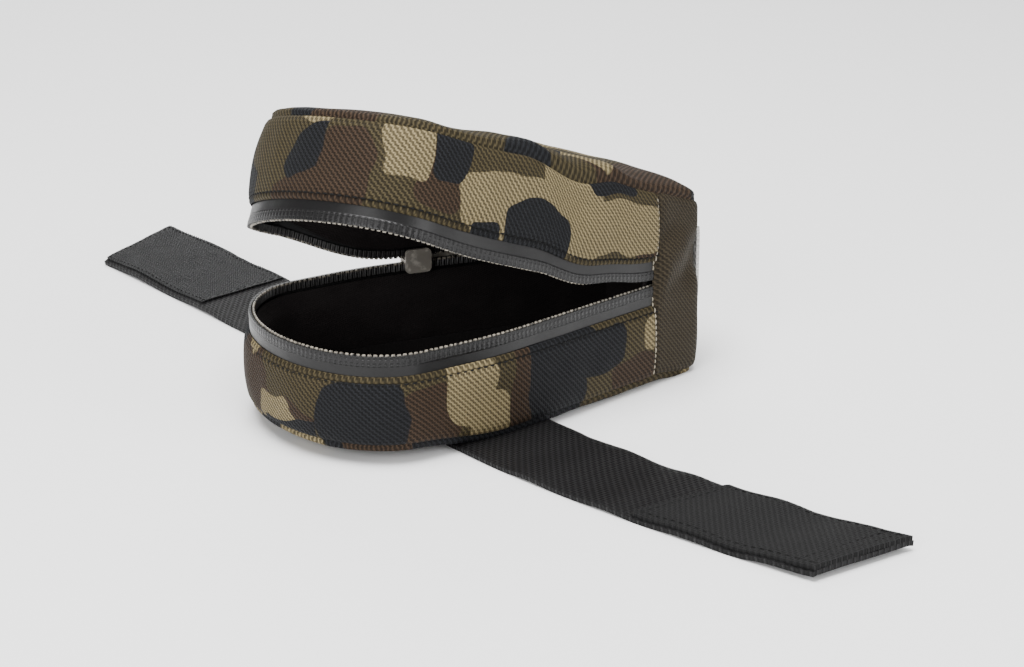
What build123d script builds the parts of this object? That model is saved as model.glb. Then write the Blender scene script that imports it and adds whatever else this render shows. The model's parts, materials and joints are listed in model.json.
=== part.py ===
from build123d import *
import math
import os

# A small clamshell strap-on case: a flat spine, sides that widen to a rounded nose, a zip round
# the rim, and one webbing strap sewn across the underside with a hook end and a loop end.
# Frame: +X towards the flat spine, -X the rounded nose, +Y the side that the zip slider is on,
# +Z up. The origin lies on the surface that the case stands on, on the strap's underside.

os.makedirs("parts", exist_ok=True)

# ---------------------------------------------------------------- driving sizes, mm
case_length = 152.0          # outer face of the spine to the tip of the nose
case_width = 86.0            # across the widest place
spine_width = 49.0           # across the flat end
nose_length = 31.0           # the half ellipse that closes the nose
seam_setback = 22.5          # spine face to the upright side seams
spine_flare = 5.7            # how much further out the side is at that seam than at the spine
straight_length = 60.5       # the straight run of each side, from the side seam forwards
side_relief = 1.8            # how far the end of the straight run is inside the widest place
base_depth = 32.6            # zip line down to the bottom seam
lid_depth = 34.4             # zip line up to the top seam
panel_bulge = 4.2            # how far the stuffed top and bottom panels stand past their seams
panel_rounding = 3.0

fabric = 1.0                 # coated outer fabric, with its folded edges
foam = 2.4                   # padding inside the walls
floor_foam = 3.0             # padding in the top and bottom
lining = 0.6
binding_width = 7.0          # tape that binds the seam allowances inside
binding_thickness = 0.9

tape_show = 8.3              # visible width of each half of the zip tape
tape_thickness = 0.7
tape_tuck = 4.0              # hidden under the fabric edge and under the side seam
coil_width = 2.7             # half of the zip's coil
coil_thickness = 1.6
zip_gap = 0.8                # zip line to the edge of each half coil
tape_edge = 0.3              # the tape ends this much short of the coil's heads
lining_drop = 5.2            # lining stops this far from the zip line, clear of the slider

fold_near_setback = 9.5      # the lid's fold runs from this far in front of the -Y side seam ...
fold_far_setback = 53.5      # ... to this far in front of the +Y side seam
fold_ahead = 3.0             # the cut between heel and lid lies this far in front of the fold
fold_gap = 0.6               # half of the slot between heel and lid
lid_open_angle = 22.5        # how far the lid stands open at rest
lid_cut_lean = 20.0          # lean of the lid's cut face from upright
heel_cut_lean = 28.0         # lean of the heel's cut face from upright

strap_width = 38.0
strap_thickness = 1.6
strap_x = -14.0              # middle of the strap where it crosses the underside
strap_clearance = 0.3
near_hinge_y = 50.0          # middle of the case to where the near tail starts to bend
far_hinge_y = 47.0
near_tail_skew = 13.6        # heading of each tail, away from straight across, in degrees
far_tail_skew = 3.4
near_plain_length = 58.0     # single webbing between the two bends of the near tail
near_pad_length = 67.0       # doubled end of the near tail, with the loop pile
far_plain_length = 76.0
far_pad_length = 84.0        # end of the far tail, with the hook tape
bend_setback = 1.3           # webbing stops this far from each bend line
pad_setback = 4.0
pad_thickness = 1.4
pad_margin = 1.2             # bare webbing beside the hook tape
tack_thickness = 0.5         # sewn box that holds the strap to the base
tack_width = 2.0
tack_length = 24.0
tack_margin = 4.0

slider_length = 9.4
slider_width = 8.4
slider_plate = 1.2
slider_clearance = 0.35
slider_neck = 0.9
slider_nose_gap = 2.2        # slider's nose to the start of the lid's zip
bail_length = 5.6
bail_width = 1.8
bail_bar = 0.8
bail_opening = 1.5
pull_eye_bar = 0.9
pull_length = 21.0
pull_width = 6.6
pull_end_round = 2.0

board_thickness = 2.0        # stiffener inside the spine
board_margin = 6.0
loop_height = 26.0           # webbing loop on the spine's outer face, for a clip-on light
loop_thickness = 1.2
loop_standoff = 4.8
loop_foot = 5.0
loop_edge = 1.5              # loop's end to the corner of the spine

# ---------------------------------------------------------------- places that follow from them
spine_x = case_length / 2
seam_x = spine_x - seam_setback
straight_end_x = seam_x - straight_length
nose_x = -case_length / 2 + nose_length
fold_near_x = seam_x - fold_near_setback
fold_far_x = seam_x - fold_far_setback
spine_half = spine_width / 2
seam_half = spine_half + spine_flare
straight_half = case_width / 2 - side_relief
zip_z = panel_bulge + base_depth
top_z = zip_z + lid_depth + panel_bulge
wall = fabric + foam + lining
reach = 2 * case_length      # longer than anything that it has to cut through


def along(start, end):
    """Unit vector from start to end."""
    return (Vector(*end) - Vector(*start)).normalized()


def side_half(x):
    """Half width of the straight part of the side at this x."""
    share = (seam_x - x) / straight_length
    return seam_half + share * (straight_half - seam_half)


rear_run = along((spine_x, spine_half), (seam_x, seam_half))
side_run = along((seam_x, seam_half), (straight_end_x, straight_half))


def inward(run):
    """The side's normal, pointing into the case, for the +Y side."""
    return Vector(run.Y, -run.X) * -1


def add_plan(inset, mode=Mode.ADD):
    """Add the case's plan shape, drawn this far inside the outer face, to the open sketch."""
    back_x = spine_x - inset
    rear_shift = Vector(spine_x, spine_half) + inward(rear_run) * inset
    corner = rear_shift + rear_run * ((back_x - rear_shift.X) / rear_run.X)
    side_shift = Vector(seam_x, seam_half) + inward(side_run) * inset
    turn = rear_run.X * side_run.Y - rear_run.Y * side_run.X
    gap = side_shift - rear_shift
    seam = rear_shift + rear_run * ((gap.X * side_run.Y - gap.Y * side_run.X) / turn)
    straight_end = Vector(straight_end_x, straight_half) + inward(side_run) * inset
    widest = Vector(nose_x, case_width / 2 - inset)
    with BuildLine() as edge:
        Line((back_x, 0), (corner.X, corner.Y))
        Line((corner.X, corner.Y), (seam.X, seam.Y))
        Line((seam.X, seam.Y), (straight_end.X, straight_end.Y))
        Spline(
            (straight_end.X, straight_end.Y),
            (widest.X, widest.Y),
            tangents=((side_run.X, side_run.Y), (-1, 0)),
        )
        EllipticalCenterArc(
            (nose_x, 0), nose_length - inset, case_width / 2 - inset, start_angle=90, arc_size=90
        )
        mirror(about=Plane.XZ)
    make_face(edge.edges(), mode=mode)


def add_ring(outer_inset, inner_inset, back_x):
    """Add a wall between two insets, open at the spine behind back_x."""
    add_plan(outer_inset)
    add_plan(inner_inset, Mode.SUBTRACT)
    with Locations((back_x + reach / 2, 0)):
        Rectangle(reach, reach, mode=Mode.SUBTRACT)


# ---------------------------------------------------------------- the two halves and the fold
# Each half is drawn on a plane at the zip line, with its own z running away from the zip.
base_half = Plane(origin=(0, 0, zip_z), x_dir=(1, 0, 0), z_dir=(0, 0, -1))
heel_half = Plane(origin=(0, 0, zip_z), x_dir=(1, 0, 0), z_dir=(0, 0, 1))

fold_near = Vector(fold_near_x, -side_half(fold_near_x), zip_z)
fold_far = Vector(fold_far_x, side_half(fold_far_x), zip_z)
fold_dir = (fold_far - fold_near).normalized()
fold_frame = Plane(origin=fold_near, x_dir=fold_dir, z_dir=(0, 0, 1))
ahead = fold_frame.y_dir
open_angle = math.radians(lid_open_angle)
open_up = Vector(0, 0, 1) * math.cos(open_angle) - ahead * math.sin(open_angle)
open_frame = Plane(origin=fold_near, x_dir=fold_dir, z_dir=open_up)


def opened(point):
    """Where a point of the closed lid is while the lid stands open."""
    return open_frame.from_local_coords(fold_frame.to_local_coords(point))


def opened_plane(plane):
    """The plane of the closed lid, carried to the open lid."""
    origin = opened(plane.origin)
    return Plane(
        origin=origin,
        x_dir=opened(plane.origin + plane.x_dir) - origin,
        z_dir=opened(plane.origin + plane.z_dir) - origin,
    )


def leaning_cut(distance, lean, forwards):
    """Plane along the fold, leaning away from it with height; its normal points to the kept side."""
    angle = math.radians(lean)
    normal = ahead * math.cos(angle) * forwards - Vector(0, 0, 1) * math.sin(angle)
    return Plane(origin=fold_near + ahead * distance, x_dir=fold_dir, z_dir=normal)


lid_half = opened_plane(heel_half)
lid_cut = opened_plane(leaning_cut(fold_ahead + fold_gap, lid_cut_lean, 1))
heel_cut = leaning_cut(fold_ahead - fold_gap, heel_cut_lean, -1)
near_side = Plane(origin=(0, 0, 0), x_dir=(1, 0, 0), z_dir=(0, -1, 0))
far_side = Plane(origin=(0, 0, 0), x_dir=(1, 0, 0), z_dir=(0, 1, 0))

# zone: the plane that it is drawn on, its depth, and the planes that trim it
base_zone = (base_half, base_depth, ())
lid_zone = (lid_half, lid_depth, (lid_cut,))
heel_zone = (heel_half, lid_depth, (heel_cut,))
heel_near_zone = (heel_half, lid_depth, (heel_cut, near_side))
heel_far_zone = (heel_half, lid_depth, (heel_cut, far_side))


def trim(cuts):
    """Keep the part that lies on the normal side of every cut."""
    for cut in cuts:
        split(bisect_by=cut, keep=Keep.TOP)


def save(piece, name):
    """Label the finished piece and write it."""
    piece.part.label = name
    export_step(piece.part, f"parts/{name}.step")


# ---------------------------------------------------------------- pieces that both halves have
def make_band(zone, name):
    """Side wall of outer fabric, from the zip tape to the panel seam."""
    half, depth, cuts = zone
    with BuildPart() as band:
        with BuildSketch(half.offset(tape_show)):
            add_ring(0, fabric, seam_x)
        extrude(amount=depth - tape_show)
        trim(cuts)
    save(band, name)


def make_panel(zone, name, channel=False):
    """Stuffed top or bottom panel; the bottom one is pressed in where the strap crosses it."""
    half, depth, cuts = zone
    with BuildPart() as panel:
        with BuildSketch(half.offset(depth)):
            add_plan(0)
        extrude(amount=panel_bulge)
        outer_face = panel.faces().sort_by(Axis(half.origin, half.z_dir))[-1]
        fillet(outer_face.edges(), panel_rounding)
        if channel:
            with BuildSketch(Plane.XY.offset(strap_thickness + tack_thickness)):
                with Locations((strap_x, 0)):
                    Rectangle(strap_width + 2 * strap_clearance, reach)
            extrude(amount=-reach, mode=Mode.SUBTRACT)
        trim(cuts)
    save(panel, name)


def make_binding(zone, name):
    """Tape that binds the panel seam's allowance, against the inside of the band."""
    half, depth, cuts = zone
    with BuildPart() as binding:
        with BuildSketch(half.offset(depth - binding_width)):
            add_ring(fabric, fabric + binding_thickness, seam_x)
        extrude(amount=binding_width)
        trim(cuts)
    save(binding, name)


def make_floor_foam(zone, name):
    """Padding behind the top or bottom panel."""
    half, depth, cuts = zone
    with BuildPart() as pad:
        with BuildSketch(half.offset(depth - floor_foam)):
            add_plan(fabric + binding_thickness)
        extrude(amount=floor_foam)
        trim(cuts)
    save(pad, name)


def make_wall_foam(zone, name):
    """Padding behind the band; it clears the binding below and the zip tape's tuck above."""
    half, depth, cuts = zone
    top = tape_show + tape_tuck
    step = depth - binding_width
    board_face = spine_x - fabric - foam
    with BuildPart() as pad:
        with BuildSketch(half.offset(top)):
            add_ring(fabric, fabric + foam, board_face)
        extrude(amount=step - top)
        with BuildSketch(half.offset(step)):
            add_ring(fabric + binding_thickness, fabric + foam, board_face)
        extrude(amount=binding_width - floor_foam)
        trim(cuts)
    save(pad, name)


def make_lining(zone, name):
    """Black lining, a tray with its mouth at the zip."""
    half, depth, cuts = zone
    with BuildPart() as tray:
        with BuildSketch(half.offset(lining_drop)):
            add_plan(fabric + foam)
        extrude(amount=depth - floor_foam - lining_drop)
        with BuildSketch(half.offset(lining_drop)):
            add_plan(wall)
        extrude(amount=depth - floor_foam - lining - lining_drop, mode=Mode.SUBTRACT)
        trim(cuts)
    save(tray, name)


def make_tape(zone, name):
    """Half of the zip tape, sewn behind the band's edge."""
    half, depth, cuts = zone
    with BuildPart() as tape:
        with BuildSketch(half.offset(zip_gap + tape_edge)):
            add_ring(fabric, fabric + tape_thickness, seam_x + tape_tuck)
        extrude(amount=tape_show + tape_tuck - zip_gap - tape_edge)
        trim(cuts)
    save(tape, name)


def make_coil(zone, name):
    """Half of the zip's coil, on the inner face of the tape."""
    half, depth, cuts = zone
    with BuildPart() as coil:
        with BuildSketch(half.offset(zip_gap)):
            add_ring(fabric + tape_thickness, fabric + tape_thickness + coil_thickness, seam_x)
        extrude(amount=coil_width)
        trim(cuts)
    save(coil, name)


make_panel(base_zone, "base_panel", channel=True)
make_band(base_zone, "base_band")
make_binding(base_zone, "base_seam_binding")
make_floor_foam(base_zone, "base_floor_foam")
make_wall_foam(base_zone, "base_wall_foam")
make_lining(base_zone, "base_lining")
make_tape(base_zone, "base_zip_tape")
make_coil(base_zone, "base_zip_coil")

make_panel(lid_zone, "lid_panel")
make_band(lid_zone, "lid_band")
make_binding(lid_zone, "lid_seam_binding")
make_floor_foam(lid_zone, "lid_top_foam")
make_wall_foam(lid_zone, "lid_wall_foam")
make_lining(lid_zone, "lid_lining")
make_tape(lid_zone, "lid_zip_tape")
make_coil(lid_zone, "lid_zip_coil")

# The heel is the part of the lid behind the fold, which stays with the base.
make_panel(heel_zone, "heel_panel")
make_floor_foam(heel_zone, "heel_top_foam")
make_lining(heel_zone, "heel_lining")
make_band(heel_near_zone, "heel_band_near")
make_tape(heel_near_zone, "heel_zip_tape_near")
make_coil(heel_near_zone, "heel_zip_coil_near")
make_band(heel_far_zone, "heel_band_far")
make_wall_foam(heel_far_zone, "heel_wall_foam_far")
make_tape(heel_far_zone, "heel_zip_tape_far")
make_coil(heel_far_zone, "heel_zip_coil_far")

# ---------------------------------------------------------------- the spine
# Spine panel: plain fabric that wraps the flat end from one side seam to the other.
spine_low = zip_z - base_depth
spine_high = zip_z + lid_depth
with BuildPart() as spine_panel:
    with BuildSketch(Plane.XY.offset(spine_low)):
        add_plan(0)
        add_plan(fabric, Mode.SUBTRACT)
        with Locations((seam_x - reach / 2, 0)):
            Rectangle(reach, reach, mode=Mode.SUBTRACT)
    extrude(amount=spine_high - spine_low)
save(spine_panel, "spine_panel")

# Stiffener between the spine's fabric and its lining.
board_low = spine_low + floor_foam + board_margin
board_high = spine_high - floor_foam - board_margin
board_x = spine_x - fabric - board_thickness / 2
with BuildPart() as spine_board:
    with BuildSketch(Plane.XY.offset(board_low)):
        with Locations((board_x, 0)):
            Rectangle(board_thickness, spine_width - 2 * board_margin)
    extrude(amount=board_high - board_low)
    fillet(spine_board.edges().filter_by(Axis.X), board_margin / 2)
save(spine_board, "spine_board")

# Strip of lining across the spine, between the mouths of the two linings.
strip_x = spine_x - fabric - foam - lining / 2
strip_width = spine_width - 2 * wall
with BuildPart() as spine_lining:
    with BuildSketch(Plane.XY.offset(zip_z - lining_drop)):
        with Locations((strip_x, 0)):
            Rectangle(lining, strip_width)
    extrude(amount=2 * lining_drop)
save(spine_lining, "spine_lining")

# Webbing loop on the spine's outer face: a foot sewn down at each end and an open bow between.
loop_half = spine_half - loop_edge
with BuildPart() as spine_loop:
    with BuildSketch(Plane.XY.offset((spine_low + spine_high - loop_height) / 2)):
        with BuildLine():
            bow_start = loop_half - loop_foot
            outer = spine_x + loop_standoff + loop_thickness
            inner = spine_x + loop_standoff
            rise = loop_standoff * 0.6
            Polyline(
                (spine_x, -loop_half),
                (spine_x, -bow_start),
                (inner, -bow_start + rise),
                (inner, bow_start - rise),
                (spine_x, bow_start),
                (spine_x, loop_half),
                (spine_x + loop_thickness, loop_half),
                (spine_x + loop_thickness, bow_start + loop_thickness),
                (outer, bow_start - rise + loop_thickness),
                (outer, -bow_start + rise - loop_thickness),
                (spine_x + loop_thickness, -bow_start - loop_thickness),
                (spine_x + loop_thickness, -loop_half),
                close=True,
            )
        make_face()
    extrude(amount=loop_height)
save(spine_loop, "spine_loop")

# ---------------------------------------------------------------- the strap
# Webbing across the underside, let into the base panel, between the two bend lines.
with BuildPart() as strap_middle:
    near_end = near_hinge_y - bend_setback
    far_end = far_hinge_y - bend_setback
    with BuildSketch(Plane.XY):
        near_slope = math.tan(math.radians(near_tail_skew)) * strap_width / 2
        far_slope = math.tan(math.radians(far_tail_skew)) * strap_width / 2
        with BuildLine():
            Polyline(
                (strap_x - strap_width / 2, -near_end - near_slope),
                (strap_x + strap_width / 2, -near_end + near_slope),
                (strap_x + strap_width / 2, far_end + far_slope),
                (strap_x - strap_width / 2, far_end - far_slope),
                close=True,
            )
        make_face()
    extrude(amount=strap_thickness)
save(strap_middle, "strap_middle")

# Box of stitching that holds the strap to the base, between the webbing and the panel.
with BuildPart() as strap_tack:
    with BuildSketch(Plane.XY.offset(strap_thickness)):
        with Locations((strap_x, 0)):
            Rectangle(strap_width - 2 * tack_margin, tack_length)
            Rectangle(
                strap_width - 2 * (tack_margin + tack_width),
                tack_length - 2 * tack_width,
                mode=Mode.SUBTRACT,
            )
    extrude(amount=tack_thickness)
save(strap_tack, "strap_tack")


def tail_plane(hinge_y, heading):
    """Plane at a tail's bend, x across the webbing, y running out along it."""
    side = math.copysign(1, hinge_y)
    out = Vector(math.sin(heading), math.cos(heading) * side, 0)
    across = out.cross(Vector(0, 0, 1))
    return Plane(origin=(strap_x, hinge_y, 0), x_dir=across, z_dir=(0, 0, 1))


def make_run(plane, start, end, low, thickness, width, name):
    """Flat run of webbing or tape along a tail."""
    with BuildPart() as run:
        with BuildSketch(plane.offset(low)):
            with Locations((0, (start + end) / 2)):
                Rectangle(width, end - start)
        extrude(amount=thickness)
    save(run, name)


near_heading = math.radians(near_tail_skew)
far_heading = -math.radians(far_tail_skew)
near_tail = tail_plane(-near_hinge_y, near_heading)
far_tail = tail_plane(far_hinge_y, far_heading)
near_tip = near_plain_length + near_pad_length
far_tip = far_plain_length + far_pad_length
hook_width = strap_width - 2 * pad_margin

tails = (
    ("near", near_tail, near_plain_length, near_tip, strap_width, "near_loop_pile"),
    ("far", far_tail, far_plain_length, far_tip, hook_width, "far_hook_tape"),
)
for side, plane, bend, tip, pad_width, pad_name in tails:
    make_run(
        plane, bend_setback, bend - bend_setback, 0, strap_thickness, strap_width,
        f"{side}_strap_plain",
    )
    make_run(plane, bend + bend_setback, tip, 0, strap_thickness, strap_width, f"{side}_strap_end")
    make_run(
        plane, bend + pad_setback, tip, strap_thickness, pad_thickness, pad_width, pad_name,
    )

# ---------------------------------------------------------------- the zip slider and its pull
# The slider rides the straight run of the +Y rim. Its plane stands at the outer face of the
# side, x along the rim towards the spine, z out of the case.
lid_start = (fold_ahead + fold_gap) / ahead.dot(Vector(side_run.X, side_run.Y))
slider_start = lid_start - slider_nose_gap - slider_length / 2
slider_x = fold_far_x + side_run.X * slider_start
rim_run = Vector(-side_run.X, -side_run.Y, 0)
rim_out = Vector(-rim_run.Y, rim_run.X, 0)
slider_origin = (slider_x, side_half(slider_x), zip_z)
slider_plane = Plane(origin=slider_origin, x_dir=rim_run, z_dir=rim_out)
edge_plane = Plane(origin=slider_origin, x_dir=rim_run, z_dir=(0, 0, 1))
outer_low = slider_clearance - fabric
outer_high = outer_low + slider_plate
inner_high = -(fabric + tape_thickness + coil_thickness + slider_clearance)

# Slider: a plate on each face of the zip, joined by the neck between the two coils.
with BuildPart() as zip_slider:
    for level in (outer_low, inner_high - slider_plate):
        with BuildSketch(slider_plane.offset(level)):
            RectangleRounded(slider_length, slider_width, slider_width / 5)
        extrude(amount=slider_plate)
    with BuildSketch(slider_plane.offset(inner_high)):
        with Locations((slider_neck - slider_length / 2, 0)):
            Rectangle(2 * slider_neck, slider_neck)
    extrude(amount=outer_low - inner_high)
save(zip_slider, "zip_slider")

# Bail: the bridge on the slider's outer plate that holds the pull.
bail_height = bail_opening + bail_bar
with BuildPart() as slider_bail:
    with BuildSketch(edge_plane):
        with Locations((0, outer_high + bail_height / 2)):
            Rectangle(bail_length, bail_height)
        with Locations((0, outer_high + bail_opening / 2)):
            Rectangle(bail_length - 2 * bail_bar, bail_opening, mode=Mode.SUBTRACT)
    extrude(amount=bail_width / 2, both=True)
    crown = slider_bail.edges().filter_by(Axis.Z).sort_by(Axis(slider_origin, rim_out))[-2:]
    fillet(crown, bail_bar / 2)
save(slider_bail, "slider_bail")

# Pull: a flat tab whose eye turns in the bail. It lies along the rim towards the spine.
pivot_out = outer_high + bail_opening / 2
window_width = bail_width + 2 * slider_clearance
window_length = bail_length - pull_eye_bar
with BuildPart() as slider_pull:
    with BuildSketch(slider_plane.offset(pivot_out - pull_eye_bar / 2)):
        with Locations(((pull_length - pull_eye_bar) / 2, 0)):
            Rectangle(pull_length, pull_width)
        with Locations(((pull_eye_bar + window_length) / 2, 0)):
            Rectangle(window_length, window_width, mode=Mode.SUBTRACT)
    extrude(amount=pull_eye_bar)
    corners = slider_pull.edges().filter_by(Axis((0, 0, 0), rim_out)).sort_by(Axis(slider_origin, rim_run))
    fillet(corners[-2:], pull_end_round)
save(slider_pull, "slider_pull")

# ---------------------------------------------------------------- joint places, for the record
pull_pivot = edge_plane.from_local_coords(Vector(0, pivot_out, 0))
travel_end = (seam_x - slider_x - fold_gap) / rim_run.X - slider_length / 2
print("lid fold", fold_near, fold_dir, "open", lid_open_angle)
print("slider", rim_run, "travel", travel_end, "pull pivot", pull_pivot)
for side, plane, bend, tip, pad_width, pad_name in tails:
    middle = Vector(0, 0, strap_thickness / 2)
    print(side, "root bend", plane.origin + middle, plane.x_dir)
    print(side, "mid bend", plane.from_local_coords(Vector(0, bend, strap_thickness / 2)))
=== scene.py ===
import json
import math

import bmesh
import bpy
import numpy as np
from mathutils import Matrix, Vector, noise


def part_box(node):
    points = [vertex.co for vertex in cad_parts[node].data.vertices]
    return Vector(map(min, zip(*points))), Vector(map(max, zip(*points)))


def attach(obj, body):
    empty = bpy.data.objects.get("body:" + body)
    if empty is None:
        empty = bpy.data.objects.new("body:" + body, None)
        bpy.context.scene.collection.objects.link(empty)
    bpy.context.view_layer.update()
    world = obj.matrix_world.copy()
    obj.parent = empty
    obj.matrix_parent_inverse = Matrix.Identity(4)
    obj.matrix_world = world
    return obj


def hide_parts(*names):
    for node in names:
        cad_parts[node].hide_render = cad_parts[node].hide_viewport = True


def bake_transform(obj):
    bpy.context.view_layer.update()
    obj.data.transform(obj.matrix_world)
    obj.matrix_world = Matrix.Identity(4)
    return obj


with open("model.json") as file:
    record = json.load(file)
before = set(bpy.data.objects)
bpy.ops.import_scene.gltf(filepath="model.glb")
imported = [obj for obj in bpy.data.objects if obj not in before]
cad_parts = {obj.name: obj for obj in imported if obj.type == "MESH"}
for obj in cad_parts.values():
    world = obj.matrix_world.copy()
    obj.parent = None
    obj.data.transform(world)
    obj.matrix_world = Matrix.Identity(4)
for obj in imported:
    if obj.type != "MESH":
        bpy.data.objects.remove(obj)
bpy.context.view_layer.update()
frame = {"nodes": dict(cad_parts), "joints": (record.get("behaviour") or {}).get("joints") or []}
MM = 0.001

# ---------------------------------------------------------------- the studio
# A plain pale floor that the case stands on, one large soft light overhead and weaker ones
# around it, and a camera that looks a little down into the open mouth.
floor_half = 3.0
floor_mesh = bpy.data.meshes.new("studio_floor")
floor_mesh.from_pydata([(-floor_half, -floor_half, -0.2 * MM), (floor_half, -floor_half, -0.2 * MM),
                        (floor_half, floor_half, -0.2 * MM), (-floor_half, floor_half, -0.2 * MM)],
                       [], [(0, 1, 2, 3)])
floor = bpy.data.objects.new("studio_floor", floor_mesh)
bpy.context.scene.collection.objects.link(floor)
paper = bpy.data.materials.new("studio_paper")
paper.use_nodes = True
paper.node_tree.nodes["Principled BSDF"].inputs["Base Color"].default_value = (0.93, 0.93, 0.93, 1)
paper.node_tree.nodes["Principled BSDF"].inputs["Roughness"].default_value = 0.9
floor_mesh.materials.append(paper)


def soft_light(name, place, size, power):
    """A round area light that faces the case."""
    light = bpy.data.lights.new(name, "AREA")
    light.shape = "DISK"
    light.size = size
    light.energy = power
    lamp = bpy.data.objects.new(name, light)
    lamp.location = place
    lamp.rotation_euler = (-Vector(place)).to_track_quat("-Z", "Y").to_euler()
    bpy.context.scene.collection.objects.link(lamp)


soft_light("light_over", (-0.25, -0.15, 1.3), 1.0, 40)
soft_light("light_left", (-1.2, -0.6, 0.55), 0.8, 13)
soft_light("light_right", (0.6, -1.2, 0.5), 0.9, 11)
soft_light("light_back", (0.5, 1.2, 0.9), 0.9, 10)
air = bpy.data.worlds.new("studio_air")
air.use_nodes = True
air.node_tree.nodes["Background"].inputs["Color"].default_value = (1, 1, 1, 1)
air.node_tree.nodes["Background"].inputs["Strength"].default_value = 0.45
bpy.context.scene.world = air

view_turn = math.radians(34.07)
view_drop = math.radians(19.42)
view_distance = 0.7797
look_at = Vector((16.35 * MM, 0, 17.5 * MM))
gaze = Vector((math.sin(view_turn) * math.cos(view_drop),
               math.cos(view_turn) * math.cos(view_drop), -math.sin(view_drop)))
camera = bpy.data.objects.new("camera", bpy.data.cameras.new("camera"))
camera.data.sensor_width = 36
camera.data.lens = 80.9
camera.data.clip_start = 0.02
camera.location = look_at - gaze * view_distance
camera.rotation_euler = gaze.to_track_quat("-Z", "Y").to_euler()
bpy.context.scene.collection.objects.link(camera)
bpy.context.scene.camera = camera

# ---------------------------------------------------------------- base wall
# The camouflage cloth wall of the base: one strip from side seam to side seam round the nose,
# padded behind, with its top edge folded under beside the zip tape and its bottom edge sewn
# to the bottom panel. Its print, weave and cut are shared by all of the camouflage cloth.
spine_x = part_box("spine_panel")[1].x
seam_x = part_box("base_band")[1].x
tip_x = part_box("base_band")[0].x
half_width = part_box("base_band")[1].y
seam_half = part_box("spine_panel")[1].y
spine_half = seam_half - 5.7 * MM
nose_length = 31 * MM
straight_end = (seam_x - 60.5 * MM, half_width - 1.8 * MM)
nose_x = tip_x + nose_length
corner_round = 4 * MM
bottom_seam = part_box("base_band")[0].z
top_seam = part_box("spine_panel")[1].z
zip_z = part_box("base_zip_tape")[1].z + 1.1 * MM
tape_show = zip_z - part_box("base_band")[1].z
cloth = 1.0 * MM
yarn_pitch = 1.0 * MM
edge_seam = 1.5 * MM
seam_step = 0.35 * MM
wall_bulge = 1.1 * MM
edge_turn = 1.3 * MM
spine_slump = 11.3 * MM
slump_start = 30 * MM
flank_sag = 1.2 * MM
nose_lift = 3.0 * MM


def half_outline():
    """The +Y half of the plan from the middle of the spine to the tip, as a fine polyline."""
    points = [np.array((spine_x, spine_half * k / 12)) for k in range(12)]
    side = np.array((seam_x, seam_half)) - (spine_x, spine_half)
    side = side / np.linalg.norm(side) * corner_round
    start, corner = np.array((spine_x, spine_half - corner_round)), np.array((spine_x, spine_half))
    points = [p for p in points if p[1] < start[1]]
    for k in range(11):
        t = k / 10
        points.append((1 - t)**2 * start + 2 * t * (1 - t) * corner + t * t * (corner + side))
    for k in range(1, 9):
        points.append((corner + side) * (1 - k / 8) + np.array((seam_x, seam_half)) * k / 8)
    for k in range(1, 25):
        points.append(np.array((seam_x, seam_half)) * (1 - k / 24) + np.array(straight_end) * k / 24)
    run = np.array(straight_end) - (seam_x, seam_half)
    reach = np.linalg.norm(np.array((nose_x, half_width)) - straight_end)
    pull = run / np.linalg.norm(run) * reach
    for k in range(1, 25):
        t = k / 24
        points.append((2 * t**3 - 3 * t**2 + 1) * np.array(straight_end) + (t**3 - 2 * t**2 + t) * pull
                      + (3 * t**2 - 2 * t**3) * np.array((nose_x, half_width))
                      + (t**3 - t**2) * np.array((-reach, 0)))
    for k in range(1, 61):
        angle = math.pi / 2 * (1 - k / 60)
        points.append(np.array((nose_x - nose_length * math.cos(angle), half_width * math.sin(angle))))
    return np.array(points)


outline = np.concatenate([half_outline() * (1, -1), half_outline()[::-1][1:]])
outline_run = np.concatenate([[0], np.cumsum(np.linalg.norm(np.diff(outline, axis=0), axis=1))])
around = outline_run[-1]


def run_at(x, side):
    """Distance along the outline to where the -Y (side -1) or +Y (side 1) flank passes x."""
    flank = (outline[:, 1] * side > 0) & (outline[:, 0] < spine_x - 1e-6)
    order = np.argsort(outline[flank, 0])
    return float(np.interp(x, outline[flank, 0][order], outline_run[flank][order]))


near_seam = run_at(seam_x, -1)
far_seam = run_at(seam_x, 1)


def on_outline(run):
    """Points and outward normals at these distances along the outline, which closes on itself."""
    run = np.asarray(run)

    def spot(r):
        return np.stack([np.interp(r % around, outline_run, outline[:, k]) for k in (0, 1)], -1)

    way = spot(run + 0.8 * MM) - spot(run - 0.8 * MM)
    way /= np.linalg.norm(way, axis=-1, keepdims=True)
    return spot(run), np.stack([way[..., 1], -way[..., 0]], -1) * -1


def smooth(low, high, value):
    """0 at low and before it, 1 at high and past it, and a smooth rise between."""
    t = np.clip((value - low) / (high - low), 0, 1)
    return t * t * (3 - 2 * t)


def top_at(x):
    """Height of the shut lid's top seam, which slumps towards the unstuffed spine."""
    sag = flank_sag * np.exp(-((x - seam_x + 82 * MM) / (21 * MM))**2)
    return top_seam - sag - spine_slump * np.clip((x - slump_start) / (spine_x - slump_start), 0, 1)**1.6


def bottom_at(x):
    """Height of the bottom seam, which sinks at the spine's corners and lifts at the nose."""
    lift = nose_lift * (1 - smooth(tip_x + 26 * MM, tip_x + 61 * MM, x))
    return bottom_seam + lift - 2.6 * MM * smooth(seam_x, spine_x, x)


def rumple(points, size, seed):
    """Smooth noise of about -1 to 1 at each point, with features of about this size."""
    spots = points.reshape(-1, 3) / size + seed * 7.31
    return np.array([noise.noise(Vector(spot)) for spot in spots]).reshape(points.shape[:-1]) * 1.6


def wall_slack(spots, seed):
    """How far a wall's cloth stands off or sinks in because it is cut a little loose."""
    return (rumple(spots, 23 * MM, seed) * 0.75 + rumple(spots * (1, 1, 0.5), 9 * MM, seed + 1) * 0.28) * MM


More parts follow.
